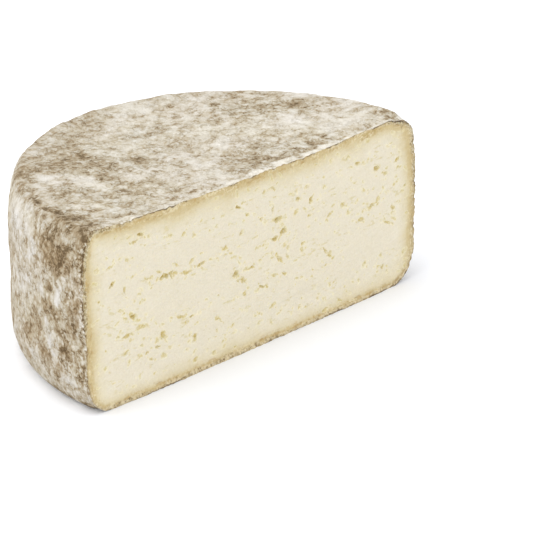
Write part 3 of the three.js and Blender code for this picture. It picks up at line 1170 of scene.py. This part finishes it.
# Where a point of the rind lies, in mm, and how far it is in each zone
class RindPlace:
    def __init__(self, shader):
        self.spot = shader.place()
        self.x, self.y, self.z = (shader.axis(self.spot, name) for name in "XYZ")
        self.behind = self.y + cutDepth
        self.onSide = self.z.rising(*rindZones["side"])
        self.farTop = (1 - self.onSide) * self.y.rising(*rindZones["farTop"])
        self.farSide = self.onSide * self.y.rising(*rindZones["farSide"])
        self.beyond = self.y.rising(*rindZones["beyond"])
        self.patch = shader.attribute("patch")

    def share(self, top, side, far):
        return top + self.onSide * side + self.farTop * far


# Islands of mould. A share is for the top, then how it differs on the side and on the far top.
mould = {
    "tone": 0.525,
    "sideTone": 0.06,
    "stir": (8, 3),  # how far across and how far
    "streakTilt": -90,
    "streakLength": 1.7,
    "wide": (24, 2.0),
    "wideShare": (0.22, -0.19, 0),
    "middle": (6, 3.0, 0.6),
    "middleShare": (0.6, -0.3, -0.1),
    "patchShare": (0.27, 0.03, -0.06),
    "farSidePatch": 0.1,
    "paintedDentShade": 0.3,
}


# Tone of the islands, with painted shading that darkens the crust's dents and lightens its bumps, and the
# noise of middle size in it
def mouldTone(shader, place):
    stirred = shader.stirred(place.spot, *mould["stir"])
    stirred = shader.streaked(stirred, mould["streakTilt"], mould["streakLength"])
    wide = shader.clouds(stirred, *mould["wide"])
    middle = shader.clouds(stirred, *mould["middle"])
    patchShare = place.share(*mould["patchShare"]) - place.farSide * mould["farSidePatch"]
    tone = mould["tone"] + place.onSide * mould["sideTone"] + place.patch * patchShare
    tone = tone + wide * place.share(*mould["wideShare"]) + middle * place.share(*mould["middleShare"])
    # Painted shading: the crust's dents are darker and its bumps lighter
    return tone - shader.attribute("crust") * mould["paintedDentShade"], middle


# Veins and grains between the islands, crisper where the crust is brown
veining = {
    "grain": (2.2, 5.0, 0.58, 0.8),
    "grainTilt": 90,
    "grainLength": 1.4,
    "grainShare": 0.95,
    "gapStir": (2.5, 0.9),
    "gapSize": 1.7,
    "gapMean": 0.45,
    "gapShare": 0.08,
    "gapSide": 0.16,
    "stir": (3.5, 1.8),
    "broken": (4.5, 2.0),
    "kept": (-0.22, 0.15),
    "veins": (3.6, 3.0, 0.6),
    "veinWidth": (0.07, 0.0),
    "veinMean": 0.22,
    "veinShare": 0.22,
    "hairs": (1.5, 3.0, 0.6),
    "hairWidth": (0.12, 0.0),
    "hairMean": 0.25,
    "hairShare": 0.1,
    "share": (1, 0.1, -0.12),
    "beyondSide": 0.13,
    "lowSide": 0.2,
    "strength": 0.38,
    "crisper": 0.65,
    "crisp": (0.2, 0.65),
}

# How much each kind of noise stands out
rindRelief = {
    "middle": 0.5,
    "grain": 1.2,
    "veins": 0.25,
    "hairs": 0.15,
    "gaps": 0.6,
    "relief": 0.65,  # mm
}


# The tone with its veins and grains, and the relief they give
def addVeins(shader, place, under):
    grain = shader.streaked(place.spot, veining["grainTilt"], veining["grainLength"])
    grain = shader.clouds(grain, *veining["grain"])
    stirred = shader.stirred(place.spot, *veining["gapStir"])
    gaps = shader.grains(stirred, veining["gapSize"]) - veining["gapMean"]
    bent = shader.stirred(place.spot, *veining["stir"])
    kept = shader.clouds(place.spot, *veining["broken"]).rising(*veining["kept"])
    veins = abs(shader.clouds(bent, *veining["veins"])).rising(*veining["veinWidth"]) * kept
    hairs = abs(shader.clouds(bent, *veining["hairs"])).rising(*veining["hairWidth"]) * kept
    fine = grain * veining["grainShare"] + gaps * (veining["gapShare"] + place.onSide * veining["gapSide"])
    fine = fine + (veins - veining["veinMean"]) * veining["veinShare"]
    fine = fine + (hairs - veining["hairMean"]) * veining["hairShare"]
    low = place.z.rising(*rindZones["low"]) * (1 - place.beyond)
    changed = place.onSide * (low * veining["lowSide"] - place.beyond * veining["beyondSide"])
    fine = fine * (place.share(*veining["share"]) + changed)
    tone = under + fine * (veining["strength"] + under.rising(*veining["crisp"]) * veining["crisper"])
    relief = grain * rindRelief["grain"] - gaps * rindRelief["gaps"]
    return tone, relief - veins * rindRelief["veins"] - hairs * rindRelief["hairs"]


# Where the top's far edge, the fold and the foot of the side are darker, and where painted light lifts the
# shade right under the foot
edging = {
    "wide": (98, 110),  # mm from the middle of the base
    "wideShare": 0.5,
    "narrow": (110.5, 114),
    "y": (0, 30),
    "z": (69, 71.5),
    "share": 0.1,
    "fold": 0.2,
    "foot": (1.6, 3.2, 1.0),
    "footClouds": (7, 2.0),
    "footKept": (-0.15, 0.15),
    "paintedLightUnderFoot": (1.8, 0.4),
    # painted light, lifting the shade under the side's rounded base
    "footShare": 0.22,
}


# How much darker the foot of the side is, and the painted light that lifts the shade right under it
def footAndPaintedLight(shader, place):
    kept = shader.clouds(place.spot, *edging["footClouds"]).rising(*edging["footKept"])
    return place.z.between(*edging["foot"]) * kept - place.z.rising(*edging["paintedLightUnderFoot"])


def farEdge(shader, place):
    away = shader.node("VectorMath", {"operation": "LENGTH"}, {0: place.spot}, "Value")
    reach = away.rising(*edging["wide"]) * edging["wideShare"] + away.rising(*edging["narrow"])
    return reach * place.y.rising(*edging["y"]) * place.z.rising(*edging["z"])


# The rim of the cut: white mould along the top, then crumbs with dark gaps between them at the ends
rimFinish = {
    "ragged": ((12, 9, 2.0), (5, 2.5, 3.0, 0.65)),
    "strip": (3.2, 1.0),  # mm behind the cut
    "stripZ": (64, 69),
    "stripRight": (58, 80),
    "stripRightLess": 0.9,
    "white": ((0.4, (-75, -60)), (0.6, (-45, 10))),  # how much, and over which x
    "whiteShare": 0.34,
    "crumbs": (1.2, 3.0, 0.7),
    "crumbContrast": 1.5,
    "crumbLighter": 0.04,
    "crumbReach": (2.6, 0.6),
    "roughLeft": (-50, -74),
    "roughRight": (66, 80),
    "roughAnywhere": 0.3,
    "beside": (1.5, 0.3),
    "besideRagged": 2.4,
    "darkLeft": (-70, -85),
    "darkHeights": ((38, 48, 3), (55, 75, 3)),
    "darkRight": (72, 80),
    "darkShare": 0.3,
}


# The tone with the rim's, and the strip of white mould alone
def addRim(shader, place, tone):
    ragged = place.behind + shader.layers(place.spot, rimFinish["ragged"])
    strip = ragged.rising(*rimFinish["strip"]) * place.z.rising(*rimFinish["stripZ"])
    strip = strip * (1 - place.x.rising(*rimFinish["stripRight"]) * rimFinish["stripRightLess"])
    white = sum(place.x.rising(*stretch) * share for share, stretch in rimFinish["white"])
    tone = tone - strip * white * rimFinish["whiteShare"]
    lumps = shader.clouds(place.spot, *rimFinish["crumbs"])
    rough = place.x.rising(*rimFinish["roughLeft"]) + place.x.rising(*rimFinish["roughRight"])
    rough = (rough + rimFinish["roughAnywhere"]) * ragged.rising(*rimFinish["crumbReach"])
    tone = tone - (lumps * rimFinish["crumbContrast"] + rimFinish["crumbLighter"]) * rough
    beside = (place.behind + lumps * rimFinish["besideRagged"]).rising(*rimFinish["beside"])
    heights = sum(place.z.between(*stretch) for stretch in rimFinish["darkHeights"])
    dark = place.x.rising(*rimFinish["darkLeft"]) * heights + place.x.rising(*rimFinish["darkRight"])
    return tone + beside * dark * rimFinish["darkShare"], strip


# Casts that multiply the colour
casts = {
    "hues": (22, 2.0),
    "hueTurn": (-0.15, 0.15),
    "warm": (1.0, 0.99, 0.96, 1),
    "cool": (1.01, 1.0, 1.005, 1),
    "sideMould": (1.0, 1.005, 1.045, 1),
    "sideMouldPatch": (0.0, -0.6),
    "sideCrust": (0.965, 0.925, 0.865, 1),
    "sideCrustPatch": (0.1, 0.8),
    "topCrust": (1.005, 1.02, 1.045, 1),
    "topCrustPatch": (-0.1, 0.35),
    "strip": (0.965, 0.94, 0.885, 1),
    "stripShare": 0.8,
    "edging": (0.985, 0.995, 1.04, 1),
    "edgingShare": 0.7,
}


def rindCast(shader, place, strip, edge):
    turn = shader.clouds(place.spot, *casts["hues"]).rising(*casts["hueTurn"])
    cast = shader.mix(turn, casts["warm"], casts["cool"])
    cast = shader.mix(place.onSide * place.patch.rising(*casts["sideMouldPatch"]), cast, casts["sideMould"])
    cast = shader.mix(place.onSide * place.patch.rising(*casts["sideCrustPatch"]), cast, casts["sideCrust"])
    onTop = 1 - place.onSide
    cast = shader.mix(onTop * place.patch.rising(*casts["topCrustPatch"]), cast, casts["topCrust"])
    cast = shader.mix(strip * casts["stripShare"], cast, casts["strip"])
    return shader.mix(edge * casts["edgingShare"], cast, casts["edging"])


# From white mould to bare crust
rindTones = [
    (0.0, (237, 234, 227)),
    (0.2, (226, 222, 213)),
    (0.42, (210, 204, 191)),
    (0.6, (188, 177, 155)),
    (0.8, (153, 133, 102)),
    (1.0, (104, 85, 58)),
]


def rindMaterial():
    shader = Shader("mould rind")
    place = RindPlace(shader)
    under, middle = mouldTone(shader, place)
    tone, relief = addVeins(shader, place, under)
    edge = farEdge(shader, place)
    tone = tone + shader.attribute("fold") * edging["fold"] + edge * edging["share"]
    # The foot's tone also brings painted light right under the foot
    tone = tone + footAndPaintedLight(shader, place) * edging["footShare"]
    tone, strip = addRim(shader, place, tone)
    colour = shader.ramp(tone, tinted(rindTones))
    colour = shader.mix(1.0, colour, rindCast(shader, place, strip, edge), "MULTIPLY")
    return shader.finish({
        "Base Color": colour,
        "Roughness": 0.85,
        "Specular IOR Level": 0.25,
        "Normal": shader.bump(relief + middle * rindRelief["middle"], rindRelief["relief"]),
    })


def floorMaterial():
    shader = Shader("white floor")
    return shader.finish({"Base Color": (*studio["floor"], 1), "Roughness": 0.9})


def layFloor():
    body = bmesh.new()
    bmesh.ops.create_grid(body, x_segments=1, y_segments=1, size=studio["floorSide"] / 2 * mm)
    mesh = bpy.data.meshes.new("floor")
    body.to_mesh(mesh)
    body.free()
    floor = bpy.data.objects.new("floor", mesh)
    bpy.context.collection.objects.link(floor)
    floor.data.materials.append(floorMaterial())


placeCamera(viewPoint)
lightStudio(studio)
layFloor()
print("Camera, light and floor placed")

cheese = buildCheese()
cheese.data.materials.append(pasteMaterial())
cheese.data.materials.append(rindMaterial())
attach(cheese, "root")
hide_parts("half_wheel")
print("Cheese finished")
